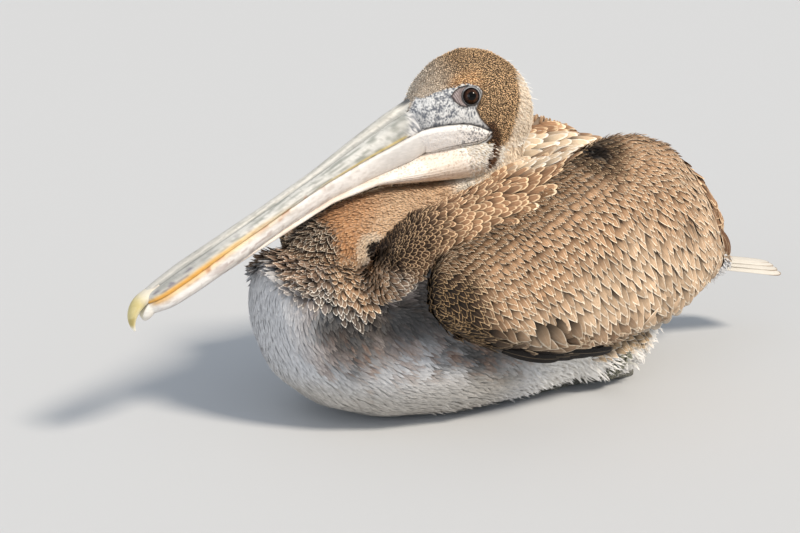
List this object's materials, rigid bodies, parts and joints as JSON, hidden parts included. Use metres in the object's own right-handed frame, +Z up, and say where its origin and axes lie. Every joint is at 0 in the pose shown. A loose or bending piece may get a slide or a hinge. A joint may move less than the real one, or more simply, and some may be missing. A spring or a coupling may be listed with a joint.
{
  "type": "brown pelican",
  "caption": "Life-size still model of a young brown pelican resting on its belly, neck folded back and long bill pointing forward and down.",
  "frame": {"origin": "middle of the flat that the bird rests on, under its belly", "axes": "+Z up, the bird faces -Y, its left side is +X"},
  "size_m": [0.2838, 0.7043, 0.3123],
  "materials": {
    "belly_feathers": "short dense body feathers, whitish below, brown above",
    "neck_feathers": "velvety short feathers, warm brown, paler at the nape",
    "wing_feathers": "brown coverts with pale cream edges",
    "flight_feathers": "stiff dark grey-brown vanes with paler edges",
    "tail_feathers": "stiff pale cream vanes",
    "bill_horn": "grey-white horn with fine lengthwise streaks, yellow wash near the tip",
    "nail_horn": "polished yellow horn, white at the point",
    "pouch_skin": "bare folded skin, pinkish tan",
    "eye_ball": "wet gloss, dark brown iris",
    "foot_skin": "scaly grey-green skin",
    "claw_horn": "dark horn"
  },
  "bodies": {
    "root": {"head": "neck_feathers", "eye_left": "eye_ball", "eye_right": "eye_ball", "bill_upper": "bill_horn", "bill_lower": "bill_horn", "bill_nail": "nail_horn", "pouch": "pouch_skin", "neck_upper": "neck_feathers", "neck_back_bend": "neck_feathers", "neck_middle": "neck_feathers", "neck_front_bend": "neck_feathers", "shoulder_left": "wing_feathers", "shoulder_right": "wing_feathers", "wing_left": "wing_feathers", "wing_right": "wing_feathers", "flight_feathers_left": "flight_feathers", "flight_feathers_right": "flight_feathers", "trunk": "belly_feathers", "thigh_left": "belly_feathers", "thigh_right": "belly_feathers", "leg_left": "foot_skin", "leg_right": "foot_skin", "foot_left": "foot_skin", "foot_right": "foot_skin", "claw_hind_left": "claw_horn", "claw_hind_right": "claw_horn", "claw_inner_left": "claw_horn", "claw_inner_right": "claw_horn", "claw_middle_left": "claw_horn", "claw_middle_right": "claw_horn", "claw_outer_left": "claw_horn", "claw_outer_right": "claw_horn", "tail": "tail_feathers"}
  },
  "joints": []
}
